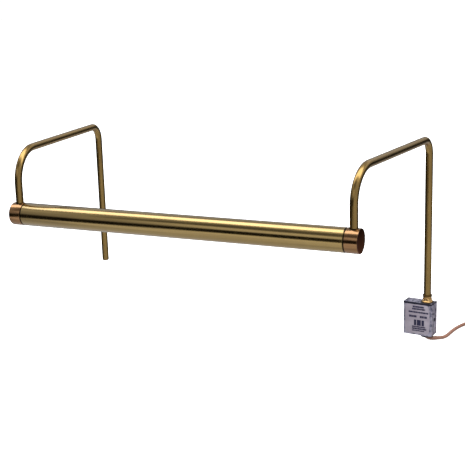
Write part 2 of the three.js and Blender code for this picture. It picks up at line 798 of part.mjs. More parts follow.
// A three-pin mains plug on its side, with its own tapered relief.
function addPlug() {
  const plug = new THREE.Group();
  plug.position.set(PLUG_RELIEF, PLUG_Y, PLUG_Z);
  plug.rotation.z = Math.PI;
  light.add(plug);

  const relief = 22;
  const bodyEnd = relief + 34;
  const tail = turnedX([[0, 0], [4.1, 0], [6.2, relief + 2], [0, relief + 2]], 20);
  const face = new THREE.Shape();
  face.absellipse(0, 0, 12.6, 9.9, 0, 2 * Math.PI, false);
  let grip = pushedAlongX(face, relief, bodyEnd, 14);
  grip = join(grip, tail);

  const pins = [
    ['plug_line_blade', block(bodyEnd - 8, bodyEnd + 17, -7.1, -5.6, -3.2, 3.2)],
    ['plug_neutral_blade', block(bodyEnd - 8, bodyEnd + 17, 5.6, 7.1, -3.9, 3.9)],
  ];
  const pin = rodX(2.4, bodyEnd - 8, bodyEnd + 20, 16);
  pin.translate(0, 0, 6.4);
  pins.push(['plug_ground_pin', pin]);

  const slots = [
    block(bodyEnd - 8.3, bodyEnd + 1, -7.4, -5.3, -3.5, 3.5),
    block(bodyEnd - 8.3, bodyEnd + 1, 5.3, 7.4, -4.2, 4.2),
  ];
  const pinHole = rodX(2.7, bodyEnd - 8.3, bodyEnd + 1, 16);
  pinHole.translate(0, 0, 6.4);
  add('plug_body', cut(grip, ...slots, pinHole), tanVinyl, plug);
  for (const [name, geometry] of pins) {
    add(name, geometry, polishedBrass, plug);
  }
}

// ---------------------------------------------------------------- assembly

addShade();
addShadeEnd('right', 0);
addShadeEnd('left', Math.PI);

const leftArm = addArm('left', -1, LEFT_DROP_END);
addLeftPlug(leftArm);

const rightArm = addArm('right', 1, RIGHT_DROP_END);
addArmLead(rightArm);

// The fitting and box hang on the drop's axis and keep the arm's turn.
const drop = new THREE.Group();
drop.position.set(0, REACH, -SHADE_Z);
rightArm.add(drop);
addFitting(drop);
addBox(drop);

addBushing();
addLead();
addSwitch();
addPlug();

export default light;
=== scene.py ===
"""The looks of a two-arm picture light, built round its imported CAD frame.

Shapes are drawn in millimetres, in the frame's own axes, and make() turns them into the
frame's metres. +X runs along the shade, +Y towards the wall and +Z up.
"""

import math

import bmesh
import bpy
from mathutils import Matrix, Vector


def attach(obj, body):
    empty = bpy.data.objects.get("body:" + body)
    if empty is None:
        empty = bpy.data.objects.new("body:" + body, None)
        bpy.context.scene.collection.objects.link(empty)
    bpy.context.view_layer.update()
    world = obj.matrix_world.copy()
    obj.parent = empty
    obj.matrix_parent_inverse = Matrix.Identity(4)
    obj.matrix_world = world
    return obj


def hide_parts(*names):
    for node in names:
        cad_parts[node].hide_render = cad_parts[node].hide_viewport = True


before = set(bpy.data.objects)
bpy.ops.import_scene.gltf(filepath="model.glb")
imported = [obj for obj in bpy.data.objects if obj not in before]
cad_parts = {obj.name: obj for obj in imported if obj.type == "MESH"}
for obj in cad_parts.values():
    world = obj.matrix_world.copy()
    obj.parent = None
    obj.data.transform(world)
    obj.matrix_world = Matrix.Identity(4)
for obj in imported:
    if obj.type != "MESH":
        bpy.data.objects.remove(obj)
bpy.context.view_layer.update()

MM = 0.001
GAP = 0.3

# ---------------- sizes, in millimetres

OVERALL_LENGTH = 609.6
END_X = OVERALL_LENGTH / 2
SHADE_RADIUS = 19.05
SHADE_WALL = 1.0
SHADE_Z = 30.0
CAP_LENGTH = 22.2
SEAM = 1.8
SLOT_MIDDLE = -45.0
SLOT_HALF = 50.0

TUBE_RADIUS = 6.35
TUBE_BORE = 5.15
LEG_X = END_X - 12.1
REACH = 305.0
RISE = 104.4
FRONT_BEND = 53.5
BACK_BEND = 26.0
ARM_TURN = math.radians(5.67)
SEAT = 17.2                      # flat in the cap that the leg stands on, above the axis
LEFT_DROP_END = -129.3
RIGHT_DROP_END = -138.0

SHADE_Y = -REACH * math.cos(ARM_TURN)
DROP_X = LEG_X + REACH * math.sin(ARM_TURN)

NIPPLE_HOLE = 5.15
BOX_TOP = -150.4
BOX_BOTTOM = BOX_TOP - 58.1
BOX_LEFT = -38.9
BOX_RIGHT = 13.0
BOX_DEPTH = 25.0
SHEET = 1.2
SCREW_Z = BOX_TOP - 29.7
SCREW_Y = -0.5

FLOOR = -221.3
CORD_RADIUS = 3.1
CORD_Z = FLOOR + CORD_RADIUS + 0.05
SNOUT_HEADING = math.radians(35)
SNOUT_TIP = 18.0
ELBOW_RADIUS = 4.0
SNOUT_Z = FLOOR + ELBOW_RADIUS + 0.05

SWITCH_FROM = 408.0
SWITCH_LENGTH = 56.0
SWITCH_Y = 139.0
SWITCH_CORD_Z = FLOOR + 5
SWITCH_HALF_WIDTH = 12.0
SWITCH_HEIGHT = 15.0
WHEEL_X = SWITCH_FROM + SWITCH_LENGTH / 2
WHEEL_Y = SWITCH_Y - 5
WHEEL_RADIUS = 10.0

COIL_X = 514.0
COIL_TURN = 45.0                 # radius of the outermost turn
COIL_LEAST = 26.4                # and of the innermost
COIL_Y = SWITCH_Y - COIL_TURN
COIL_HEIGHT = 12.6
TURN_PITCH = 6.2
LAYER = 6.25                     # height between the coil's two layers
PLUG_Z = FLOOR + 10
PLUG_Y = COIL_Y - COIL_TURN
PLUG_RELIEF = 482.0

# ---------------- camera

CAMERA_PLACE = Vector((0.7800, -1.7484, 0.4204))
CAMERA_AZIMUTH = math.radians(25.26)
CAMERA_ELEVATION = math.radians(13.82)
CAMERA_ROLL = math.radians(-1.73)
CAMERA_LENS = 83.44


def add_camera():
    """Stands at the photograph's viewing angle, looking down and to the left."""
    back = Vector((
        math.sin(CAMERA_AZIMUTH) * math.cos(CAMERA_ELEVATION),
        -math.cos(CAMERA_AZIMUTH) * math.cos(CAMERA_ELEVATION),
        math.sin(CAMERA_ELEVATION),
    ))
    level = (-back).cross(Vector((0, 0, 1))).normalized()
    upright = level.cross(-back)
    right = math.cos(CAMERA_ROLL) * level + math.sin(CAMERA_ROLL) * upright
    up = math.cos(CAMERA_ROLL) * upright - math.sin(CAMERA_ROLL) * level
    data = bpy.data.cameras.new("camera")
    data.lens = CAMERA_LENS
    data.sensor_width = 36.0
    camera = bpy.data.objects.new("camera", data)
    axes = Matrix((right, up, back)).transposed().to_4x4()
    camera.matrix_world = Matrix.Translation(CAMERA_PLACE) @ axes
    bpy.context.collection.objects.link(camera)
    bpy.context.scene.camera = camera


# ---------------- materials

def add_node(tree, kind, inputs=(), **settings):
    """A shader node, its inputs (by name or number) linked to sockets or set to values."""
    node = tree.nodes.new("ShaderNode" + kind)
    for name, value in settings.items():
        setattr(node, name, value)
    for name, value in dict(inputs).items():
        if isinstance(value, bpy.types.NodeSocket):
            tree.links.new(value, node.inputs[name])
        else:
            node.inputs[name].default_value = value
    return node


def add_ramp(tree, value, stops):
    """A colour ramp with (position, colour) stops."""
    node = add_node(tree, "ValToRGB", {"Fac": value})
    elements = node.color_ramp.elements
    while len(elements) < len(stops):
        elements.new(0.5)
    for element, (position, colour) in zip(elements, stops):
        element.position = position
        element.color = (*colour, 1.0)
    return node.outputs["Color"]


class Look:
    """A material in the making, with short calls for the nodes that all of them use."""

    def __init__(self, name, roughness, metallic=0.0, **sockets):
        self.material = bpy.data.materials.new(name)
        self.material.use_nodes = True
        self.tree = self.material.node_tree
        self.shader = self.tree.nodes["Principled BSDF"]
        self.shader.inputs["Roughness"].default_value = roughness
        self.shader.inputs["Metallic"].default_value = metallic
        for socket, value in sockets.items():
            self.shader.inputs[socket.replace("_", " ")].default_value = value

    def place(self, scale, space="Object"):
        """Texture coordinates, in metres times scale: on the piece, or along its surface."""
        source = add_node(self.tree, "TexCoord").outputs[space]
        mapping = add_node(self.tree, "Mapping", {"Vector": source, "Scale": scale})
        return mapping.outputs["Vector"]

    def noise(self, vector, detail=3.0, rough=0.5):
        inputs = {"Vector": vector, "Scale": 1.0, "Detail": detail, "Roughness": rough}
        return add_node(self.tree, "TexNoise", inputs).outputs["Fac"]

    def ramp(self, value, *stops):
        return add_ramp(self.tree, value, stops)

    def spread(self, value, low, high, start=0.25, end=0.75):
        inputs = {"Value": value, "From Min": start, "From Max": end,
                  "To Min": low, "To Max": high}
        return add_node(self.tree, "MapRange", inputs).outputs["Result"]

    def maths(self, operation, first, second):
        node = add_node(self.tree, "Math", {0: first, 1: second}, operation=operation)
        return node.outputs["Value"]

    def shared(self, first, share, second):
        """Two values mixed: the first has the given share and the second the rest."""
        return self.maths("ADD", self.maths("MULTIPLY", first, share),
                          self.maths("MULTIPLY", second, 1 - share))

    def bump(self, height, depth):
        """A surface that rises with a value, by up to a depth in millimetres."""
        inputs = {"Height": height, "Distance": depth * MM, "Strength": 1.0}
        return add_node(self.tree, "Bump", inputs).outputs["Normal"]

    def connect(self, **outputs):
        for socket, value in outputs.items():
            self.tree.links.new(value, self.shader.inputs[socket.replace("_", " ")])
        return self.material


def brushed_metal(name, dark, light, roughness, grain, space="Object", depth=0.004, lacquer=0.0,
                  edge=(1.0, 1.0, 1.0)):
    """Metal with a fine grain: grain is how often it changes per metre along each axis."""
    look = Look(name, roughness, 1.0, Coat_Weight=lacquer, Coat_Roughness=0.12, Coat_IOR=1.65,
                Specular_Tint=(*edge, 1.0))
    coarse = [g * 0.12 if g > 100 else g for g in grain]
    fine = look.noise(look.place(grain, space), detail=2.0)
    bands = look.noise(look.place(coarse, space))
    patina = look.noise(look.place((14, 14, 14), space), detail=4.0, rough=0.6)
    colour = look.ramp(look.shared(bands, 0.55, patina), (0.36, dark), (0.64, light))
    shine = look.spread(fine, roughness - 0.05, roughness + 0.08)
    smudge = look.maths("ADD", shine, look.spread(patina, -0.03, 0.05))
    return look.connect(Base_Color=colour, Roughness=smudge, Normal=look.bump(fine, depth))


def plastic(name, dark, light, roughness, grit=1500.0, depth=0.02):
    """Moulded plastic or vinyl: slow colour changes and a fine surface texture."""
    look = Look(name, roughness, 0.0, Specular_IOR_Level=0.5)
    slow = look.noise(look.place((30, 30, 30)), detail=4.0)
    grain = look.noise(look.place((grit, grit, grit)), detail=2.0)
    colour = look.ramp(slow, (0.3, dark), (0.7, light))
    shine = look.spread(grain, roughness - 0.06, roughness + 0.08)
    return look.connect(Base_Color=colour, Roughness=shine, Normal=look.bump(grain, depth))


def zinc(name, dark, light, roughness):
    """Zinc-plated sheet: small crystals of slightly different greys, scuffed and stained."""
    look = Look(name, roughness, 0.45)
    cells = add_node(look.tree, "TexVoronoi", {"Vector": look.place((260, 260, 260)), "Scale": 1.0})
    parts = add_node(look.tree, "SeparateColor", {"Color": cells.outputs["Color"]})
    spangle = parts.outputs["Red"]
    stains = look.noise(look.place((110, 110, 80)), detail=5.0, rough=0.6)
    fine = look.noise(look.place((900, 900, 900)), detail=2.0)
    colour = look.ramp(look.shared(spangle, 0.15, stains), (0.37, dark), (0.56, light))
    shine = look.maths("ADD", look.spread(spangle, roughness - 0.08, roughness + 0.08, 0.0, 1.0),
                       look.spread(fine, -0.03, 0.03))
    return look.connect(Base_Color=colour, Roughness=shine, Normal=look.bump(stains, 0.12))


def label_film():
    """Metallised label paper: faint fibres, slightly creased."""
    look = Look("label_film", 0.55, 0.25)
    creases = look.noise(look.place((60, 60, 90)), detail=4.0)
    fibres = look.noise(look.place((1200, 1200, 1200)), detail=2.0)
    colour = look.ramp(creases, (0.3, (0.385, 0.340, 0.410)), (0.7, (0.500, 0.455, 0.525)))
    shine = look.spread(fibres, 0.45, 0.62)
    return look.connect(Base_Color=colour, Roughness=shine, Normal=look.bump(creases, 0.08))


def frosted_glass():
    look = Look("lamp_glass", 0.38, 0.0, Transmission_Weight=0.75, IOR=1.45)
    cloud = look.noise(look.place((50, 50, 50)))
    etch = look.noise(look.place((2500, 2500, 2500)), detail=1.0)
    colour = look.ramp(cloud, (0.3, (0.86, 0.84, 0.78)), (0.7, (0.95, 0.94, 0.90)))
    shine = look.spread(etch, 0.32, 0.46)
    return look.connect(Base_Color=colour, Roughness=shine, Normal=look.bump(etch, 0.004))


def floor_look():
    look = Look("pale_floor", 0.9, 0.0, Emission_Color=(1, 1, 1, 1), Emission_Strength=0.95)
    soft = look.noise(look.place((3, 3, 3)), detail=2.0)
    colour = look.ramp(soft, (0.3, (0.80, 0.80, 0.80)), (0.7, (0.82, 0.82, 0.82)))
    return look.connect(Base_Color=colour)


def make_looks():
    """Every material of the scene, by name."""
    looks = {
        "zinc_steel": zinc("zinc_steel", (0.050, 0.054, 0.100), (0.40, 0.38, 0.48), 0.34),
        # Near-black zinc: painted shade on the box's top lip and on the cover screw heads.
        "zinc_painted_shade": zinc("zinc_painted_shade", (0.006, 0.007, 0.018), (0.022, 0.022, 0.045), 0.42),
        "label_film": label_film(),
        "lamp_glass": frosted_glass(),
        "floor": floor_look(),
    }
    along = (3, 2600, 2600)
    for name, dark, light, roughness, grain, rest in (
        ("brushed_brass", (0.265, 0.174, 0.044), (0.350, 0.236, 0.066), 0.15, along,
         {"lacquer": 0.8}),
        ("bronze_cap", (0.222, 0.112, 0.042), (0.305, 0.162, 0.064), 0.15, along,
         {"depth": 0.003, "lacquer": 0.35}),
        # A darker, redder copy of the cap bronze: painted shade on the caps' end faces.
        ("plum_painted_shade", (0.190, 0.095, 0.075), (0.240, 0.125, 0.100), 0.15, (700,) * 3,
         {"depth": 0.002, "edge": (0.60, 0.43, 0.37)}),
        ("dark_bronze", (0.030, 0.018, 0.012), (0.055, 0.035, 0.022), 0.38, (900,) * 3, {}),
        # Near-black bronze: painted shade in the cap seams and round the legs' feet.
        ("bronze_painted_shade", (0.004, 0.003, 0.002), (0.010, 0.007, 0.004), 0.5, (900,) * 3, {}),
        ("aged_bronze", (0.120, 0.068, 0.020), (0.180, 0.105, 0.034), 0.20, (900,) * 3, {}),
        ("antique_brass", (0.250, 0.156, 0.046), (0.350, 0.225, 0.070), 0.23, (6, 2200, 2200),
         {"space": "UV", "depth": 0.003, "lacquer": 0.2}),
        ("polished_brass", (0.58, 0.345, 0.105), (0.76, 0.48, 0.175), 0.12, (600,) * 3,
         {"depth": 0.003, "lacquer": 0.8}),
        ("bright_steel", (0.38, 0.38, 0.38), (0.55, 0.55, 0.55), 0.30, (700,) * 3, {}),
        ("green_screw", (0.03, 0.12, 0.045), (0.06, 0.20, 0.08), 0.35, (700,) * 3, {}),
    ):
        looks[name] = brushed_metal(name, dark, light, roughness, grain, **rest)
    for name, *settings in (
        ("label_ink", (0.005, 0.005, 0.028), (0.012, 0.012, 0.060), 0.5),
        ("white_enamel", (0.76, 0.74, 0.68), (0.84, 0.82, 0.77), 0.42, 700, 0.01),
        ("porcelain", (0.74, 0.71, 0.64), (0.82, 0.80, 0.74), 0.22, 500, 0.008),
        ("lead_insulation", (0.66, 0.63, 0.55), (0.78, 0.75, 0.68), 0.7, 1800, 0.05),
        ("black_nylon", (0.008, 0.008, 0.012), (0.018, 0.018, 0.024), 0.42),
        ("tan_vinyl", (0.225, 0.108, 0.072), (0.305, 0.155, 0.108), 0.42, 900),
        ("switch_plastic", (0.14, 0.070, 0.048), (0.18, 0.095, 0.065), 0.45),
        ("orange_plastic", (0.50, 0.12, 0.03), (0.62, 0.17, 0.04), 0.35),
    ):
        looks[name] = plastic(name, *settings)
    return looks


LOOKS = make_looks()

# ---------------- outlines and paths

def arc(centre, radius, start, end, steps):
    """Points (a, b) on an arc, its angles in degrees."""
    points = []
    for i in range(steps + 1):
        angle = math.radians(start + (end - start) * i / steps)
        points.append((centre[0] + radius * math.cos(angle), centre[1] + radius * math.sin(angle)))
    return points


def rounded(points, radius, steps=4, closed=False):
    """The outline with each of its corners rounded off, the ends of an open one kept."""
    count = len(points)
    result = []
    for i, here in enumerate(points):
        if not closed and i in (0, count - 1):
            result.append(tuple(here))
            continue
        here = Vector(here)
        before = Vector(points[i - 1])
        after = Vector(points[(i + 1) % count])
        reach = min(radius, (before - here).length * 0.45, (after - here).length * 0.45)
        start = here + (before - here).normalized() * reach
        end = here + (after - here).normalized() * reach
        for k in range(steps + 1):
            t = k / steps
            spot = start * (1 - t) ** 2 + here * (2 * t * (1 - t)) + end * t ** 2
            result.append(tuple(spot))
    return result


def rectangle(a0, a1, b0, b1):
    return [(a0, b0), (a1, b0), (a1, b1), (a0, b1)]


def offset(base, points):
    """Points whose second value is counted from a base."""
    return [(a, base + b) for a, b in points]


# ---------------- mesh building

def skin(rows):
    """A mesh over rows of points. A row of one point is a pole that closes the form."""
    mesh = bmesh.new()
    layer = mesh.loops.layers.uv.verify()
    along = [0.0]
    for above, below in zip(rows, rows[1:]):
        along.append(along[-1] + math.dist(above[0], below[0]) * MM)
    widest = max(rows, key=lambda row: sum(math.dist(p, q) for p, q in zip(row, row[1:])))
    around = [0.0]
    for p, q in zip(widest, widest[1:] + widest[:1]):
        around.append(around[-1] + math.dist(p, q) * MM)
    rings = [[mesh.verts.new(p) for p in row] for row in rows]
    count = len(widest)
    for i in range(len(rings) - 1):
        low, high = rings[i], rings[i + 1]
        if len(low) == 1 and len(high) == 1:
            continue
        for j in range(count):
            k = (j + 1) % count
            if len(low) == 1:
                corners = [(low[0], i, j), (high[k], i + 1, j + 1), (high[j], i + 1, j)]
            elif len(high) == 1:
                corners = [(low[j], i, j), (low[k], i, j + 1), (high[0], i + 1, j)]
            else:
                corners = [(low[j], i, j), (low[k], i, j + 1),
                           (high[k], i + 1, j + 1), (high[j], i + 1, j)]
            face = mesh.faces.new([vertex for vertex, _, _ in corners])
            for loop, (_, a, b) in zip(face.loops, corners):
                loop[layer].uv = (along[a], around[b])
    bmesh.ops.remove_doubles(mesh, verts=mesh.verts, dist=1e-4)
    return mesh


def revolved(profile, ring=96, limit=None):
    """A turned form about local X from (radius, along) points. limit(angle) caps its radius."""
    rows = []
    for radius, along in profile:
        if radius <= 1e-6:
            rows.append([(along, 0.0, 0.0)])
            continue
        row = []
        for j in range(ring):
            angle = 2 * math.pi * j / ring
            reach = radius if limit is None else min(radius, limit(angle))
            row.append((along, reach * math.cos(angle), reach * math.sin(angle)))
        rows.append(row)
    return skin(rows)


def ring_form(profile, fillet=0.0, steps=3, ring=96, limit=None):
    """A turned ring: the profile closes on itself. A fillet rounds its edges."""
    if fillet:
        profile = rounded(profile, fillet, steps, closed=True)
    return revolved(profile + [profile[0]], ring, limit)


def band(inner, outer, low, high, fillet=0.3, steps=3, ring=96):
    """A turned ring of a plain section, its edges rounded."""
    return ring_form(rectangle(inner, outer, low, high), fillet, steps, ring)


def rod(radius, start, end, ring=64):
    return revolved([(0, start), (radius, start), (radius, end), (0, end)], ring)


def hexagon(across_flats):
    """The radius of a hexagon at each angle, for revolved's limit."""
    def limit(angle):
        from_middle = (angle + math.pi / 6) % (math.pi / 3) - math.pi / 6
        return across_flats / 2 / math.cos(from_middle)
    return limit


def pushed(outline, start, end, axis="Z"):
    """A flat outline (a, b) pushed out along an axis, as a closed form."""
    mesh = bmesh.new()
    place = {
        "X": lambda a, b, c: (c, a, b),
        "Y": lambda a, b, c: (a, c, b),
        "Z": lambda a, b, c: (a, b, c),
    }[axis]
    ends = [[mesh.verts.new(place(a, b, c)) for a, b in outline] for c in (start, end)]
    mesh.faces.new(ends[0])
    mesh.faces.new(ends[1])
    for j in range(len(outline)):
        k = (j + 1) % len(outline)
        mesh.faces.new((ends[0][j], ends[0][k], ends[1][k], ends[1][j]))
    return mesh


def slab(x0, x1, y0, y1, z0, z1):
    return pushed(rectangle(x0, x1, y0, y1), z0, z1)


def bent_sheet(outer, inner, start, end):
    """The outline of a sheet bent round the origin, its angles in degrees."""
    steps = max(8, int(abs(end - start) / 2))
    return arc((0, 0), outer, start, end, steps) + arc((0, 0), inner, end, start, steps)


def tube_rows(stations, radius, ring=48):
    """Rings about stations given as (y, z) in the plane x = 0."""
    rows = []
    count = len(stations)
    for i, (y, z) in enumerate(stations):
        before = Vector(stations[max(i - 1, 0)])
        after = Vector(stations[min(i + 1, count - 1)])
        heading = (after - before).normalized()
        across = Vector((-heading.y, heading.x))
        row = []
        for j in range(ring):
            angle = 2 * math.pi * j / ring
            side = radius * math.cos(angle)
            row.append((radius * math.sin(angle), y + across.x * side, z + across.y * side))
        rows.append(row)
    return rows


def swept(points, radius, ring=24):
    """A round rod along a smooth line through points anywhere in space, with closed ends."""
    points = [Vector(p) for p in points]
    rows = [[tuple(points[0])]]
    normal = Vector((0, 0, 1))
    for i, here in enumerate(points):
        heading = (points[min(i + 1, len(points) - 1)] - points[max(i - 1, 0)]).normalized()
        side = heading.cross(normal).normalized()
        normal = side.cross(heading).normalized()
        row = []
        for j in range(ring):
            angle = 2 * math.pi * j / ring
            out = side * math.cos(angle) + normal * math.sin(angle)
            row.append(tuple(here + out * radius))
        rows.append(row)
    rows.append([tuple(points[-1])])
    return skin(rows)


def smooth_line(points, steps=6):
    """More points on a smooth curve through the points given."""
    points = [Vector(p) for p in points]
    line = []
    for i in range(len(points) - 1):
        a, b = points[i], points[i + 1]
        before = points[i - 1] if i > 0 else a + (a - b)
        after = points[i + 2] if i + 2 < len(points) else b + (b - a)
        for k in range(steps):
            t = k / steps
            line.append(0.5 * (2 * a + (b - before) * t
                               + (2 * before - 5 * a + 4 * b - after) * t ** 2
                               + (3 * a - before - 3 * b + after) * t ** 3))
    line.append(points[-1])
    return line


def merged(*meshes):
    """Several closed forms in one mesh."""
    total = meshes[0]
    for other in meshes[1:]:
        data = bpy.data.meshes.new("part")
        other.to_mesh(data)
        total.from_mesh(data)
        bpy.data.meshes.remove(data)
        other.free()
    return total


def moved(mesh, matrix):
    mesh.transform(matrix)
    return mesh


def shift(x, y, z):
    return Matrix.Translation((x, y, z))


def turn(angle, axis):
    return Matrix.Rotation(angle, 4, axis)


# Turns a form drawn along local X to stand along Z.
UPRIGHT = turn(-math.pi / 2, "Y")


def new_object(name, mesh, place):
    bmesh.ops.recalc_face_normals(mesh, faces=mesh.faces)
    mesh.transform(Matrix.Scale(MM, 4) @ place)
    data = bpy.data.meshes.new(name)
    mesh.to_mesh(data)
    mesh.free()
    piece = bpy.data.objects.new(name, data)
    bpy.context.collection.objects.link(piece)
    return piece


def apply_modifiers(piece):
    bpy.context.view_layer.objects.active = piece
    for other in bpy.context.selected_objects:
        other.select_set(False)
    piece.select_set(True)
    for modifier in list(piece.modifiers):
        bpy.ops.object.modifier_apply(modifier=modifier.name)


def combine(piece, operation, tools):
    """Joins tools to the piece or cuts them out of it. Tools are meshes in the piece's place."""
    for i, tool in enumerate(tools):
        other = new_object(f"{piece.name}_tool_{i}", tool, Matrix())
        modifier = piece.modifiers.new("boolean", "BOOLEAN")
        modifier.operation = operation
        modifier.solver = "EXACT"
        modifier.object = other
        apply_modifiers(piece)
        bpy.data.objects.remove(other)


def make(name, mesh, look, place=Matrix(), body="frame", bevel=0.0, steps=2, node=None,
         cuts=(), joins=(), sharp=32):
    """One finished piece: its mesh placed and smoothed, its look, and the node it replaces."""
    piece = new_object(name, mesh, place)
    if joins:
        combine(piece, "UNION", joins)
    if cuts:
        combine(piece, "DIFFERENCE", cuts)
    if bevel:
        modifier = piece.modifiers.new("edges", "BEVEL")
        modifier.width = bevel * MM
        modifier.segments = steps
        modifier.limit_method = "ANGLE"
        modifier.angle_limit = math.radians(sharp)
        apply_modifiers(piece)
    piece.data.shade_smooth()
    piece.data.set_sharp_from_angle(angle=math.radians(sharp))
    piece.data.materials.append(LOOKS[look])
    if node:
        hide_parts(node)
    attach(piece, body)
    return piece


# ---------------- lead

ROUTE_FROM_BOX = [
    (337.9, 10.5, SNOUT_Z),
    (339.6, 11.7, SNOUT_Z - 0.1),
    (344.5, 16.2, CORD_Z + 0.4),
    *[(x, y, CORD_Z) for x, y in (
        (348.1, 22.0), (350.4, 29.8), (352.0, 42.5), (353.4, 55.0), (355.3, 68.0),
        (358.4, 82.0), (363.4, 97.0), (371.0, 112.0), (381.5, 125.5),
    )],
    (394.0, 135.0, CORD_Z + 0.9),
    (SWITCH_FROM - 5, SWITCH_Y, SWITCH_CORD_Z),
    (SWITCH_FROM + 10, SWITCH_Y, SWITCH_CORD_Z),
]
ROUTE_TO_COIL = [
    (SWITCH_FROM + SWITCH_LENGTH - 10, SWITCH_Y, SWITCH_CORD_Z),
    (SWITCH_FROM + SWITCH_LENGTH + 1, SWITCH_Y, SWITCH_CORD_Z),
    (SWITCH_FROM + SWITCH_LENGTH + 9, SWITCH_Y, SWITCH_CORD_Z - 0.9),
    (COIL_X - 32, SWITCH_Y, CORD_Z),
    (COIL_X - 16, SWITCH_Y, CORD_Z),
]
ROUTE_TO_PLUG = [(x, PLUG_Y, PLUG_Z) for x in (COIL_X - 16, COIL_X - 25, PLUG_RELIEF + GAP)]


def coil_route(per_turn=18):
    """Half a turn at full size, three turns inwards, then three outwards on top of them."""
    points = []
    half = per_turn // 2
    inward = 3 * per_turn
    for i in range(half + 2 * inward + 1):
        angle = math.pi / 2 - 2 * math.pi * i / per_turn
        radius = COIL_TURN
        z = CORD_Z
        if i > half:
            radius = COIL_TURN - TURN_PITCH * min(i - half, inward) / per_turn
        if i > half + inward:
            up = (i - half - inward) / per_turn
            climb = min(up / 0.5, 1.0)
            radius = COIL_LEAST + TURN_PITCH * (up if up > 0.5 else 2 * up * up)
            z = CORD_Z + LAYER * math.sin(climb * math.pi / 2)
        points.append((COIL_X + radius * math.cos(angle), COIL_Y + radius * math.sin(angle), z))
    return points


def add_lead():
    """The round three-core lead as one curve, from the bushing's tip into the plug."""
    route = ROUTE_FROM_BOX + ROUTE_TO_COIL + coil_route() + ROUTE_TO_PLUG
    points = [Vector(p) * MM for p in route]
    data = bpy.data.curves.new("supply_lead", "CURVE")
    data.dimensions = "3D"
    data.bevel_depth = CORD_RADIUS * MM
    data.bevel_resolution = 6
    data.resolution_u = 5
    data.use_fill_caps = True
    spline = data.splines.new("BEZIER")
    spline.bezier_points.add(len(points) - 1)
    for spot, place in zip(spline.bezier_points, points):
        spot.co = place
        spot.handle_left_type = "AUTO"
        spot.handle_right_type = "AUTO"
    lead = bpy.data.objects.new("supply_lead", data)
    bpy.context.collection.objects.link(lead)
    data.materials.append(LOOKS["tan_vinyl"])
    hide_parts("cord_from_box", "cord_to_coil", "cord_coil", "cord_to_plug")
    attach(lead, "frame")
    return lead, points


# ---------------- shade and its ends

SHADE_AXIS = shift(0, SHADE_Y, SHADE_Z)
SHADE_INSIDE = SHADE_AXIS @ turn(math.radians(SLOT_MIDDLE + 90), "X")


def add_shade():
    tube_end = END_X - CAP_LENGTH - SEAM - 0.2
    outline = bent_sheet(SHADE_RADIUS, SHADE_RADIUS - SHADE_WALL,
                         SLOT_MIDDLE + SLOT_HALF, SLOT_MIDDLE - SLOT_HALF + 360)
    make("shade_skin", pushed(outline, -tube_end, tube_end, "X"), "brushed_brass", SHADE_AXIS,
         "shade", bevel=0.3, steps=3, node="shade_tube")

    outer = SHADE_RADIUS - SHADE_WALL - 0.4
    make("reflector_skin", pushed(bent_sheet(outer, outer - 0.8, 0, 180), -266, 266, "X"),
         "white_enamel", SHADE_INSIDE, "shade", bevel=0.2, node="reflector")

    rail = rounded([(-6, 15.2), (-6, 13.8), (6, 13.8), (6, 15.2)], 0.5, 3, closed=True)
    make("lamp_rail_bar", pushed(rail, -264, 264, "X"), "bright_steel", SHADE_INSIDE, "shade",
         bevel=0.15, node="lamp_rail")


LAMP_PITCH = 178.0
HOLDER_LENGTH = 28.0
HOLDER_RADIUS = 11.0
LAMP_RADIUS = 10.3
LAMP_LENGTH = 122.0
BASE_RADIUS = 8.0
BASE_LENGTH = 18.0
LAMP_OFFSET = 2.0
FIRST_LAMP = -(LAMP_PITCH * 2 + HOLDER_LENGTH + LAMP_LENGTH) / 2


def add_lamp(number, start):
    """A ceramic holder on a bent foot, with a frosted tubular lamp screwed into it."""
    axis = SHADE_INSIDE @ shift(0, 0, -LAMP_OFFSET)
    socket = BASE_RADIUS + GAP
    socket_end = HOLDER_LENGTH - BASE_LENGTH - 1
    groove = HOLDER_RADIUS - 0.9
    barrel = rounded(offset(start, [
        (0, 0), (HOLDER_RADIUS - 2, 0), (HOLDER_RADIUS, 3), (HOLDER_RADIUS, 19), (groove, 19.8),
        (groove, 21.2), (HOLDER_RADIUS, 22), (HOLDER_RADIUS, HOLDER_LENGTH),
        (socket, HOLDER_LENGTH), (socket, socket_end), (0, socket_end),
    ]), 0.6, 3)
    make(f"lampholder_{number}_body", revolved(barrel, 72), "porcelain", axis, "shade",
         node=f"lampholder_{number}")
    make(f"lampholder_{number}_foot", slab(start + 4, start + 18, -5, 5, 7.5, 13.5),
         "bright_steel", SHADE_INSIDE, "shade", bevel=0.5)

    mouth = start + HOLDER_LENGTH
    dome = (0, mouth + GAP + LAMP_LENGTH - LAMP_RADIUS)
    wall = 0.7
    neck = offset(mouth, [(BASE_RADIUS - 0.2, 1), (BASE_RADIUS, 2),
                          (LAMP_RADIUS, 7), (LAMP_RADIUS, 20)])
    outside = rounded(neck, 2, 4) + arc(dome, LAMP_RADIUS, 0, 90, 14)
    inner_neck = [(radius - wall, along) for radius, along in reversed(neck)]
    inside = arc(dome, LAMP_RADIUS - wall, 90, 0, 14) + rounded(inner_neck, 2, 4)
    make(f"tubular_lamp_{number}_glass", revolved(outside + inside + [outside[0]], 64),
         "lamp_glass", axis, "shade", node=f"tubular_lamp_{number}")

    root = BASE_RADIUS - 0.55
    thread = offset(mouth - BASE_LENGTH, [(0, 0), (4.5, 0), (BASE_RADIUS - 0.6, 3)])
    for i in range(5):
        thread += offset(mouth - 13.5 + i * 2.8, [(root, 0), (BASE_RADIUS, 1), (root, 2)])
    thread += offset(mouth, [(BASE_RADIUS - 0.3, 1.6), (0, 1.8)])
    make(f"tubular_lamp_{number}_base", revolved(thread, 64), "polished_brass", axis, "shade")


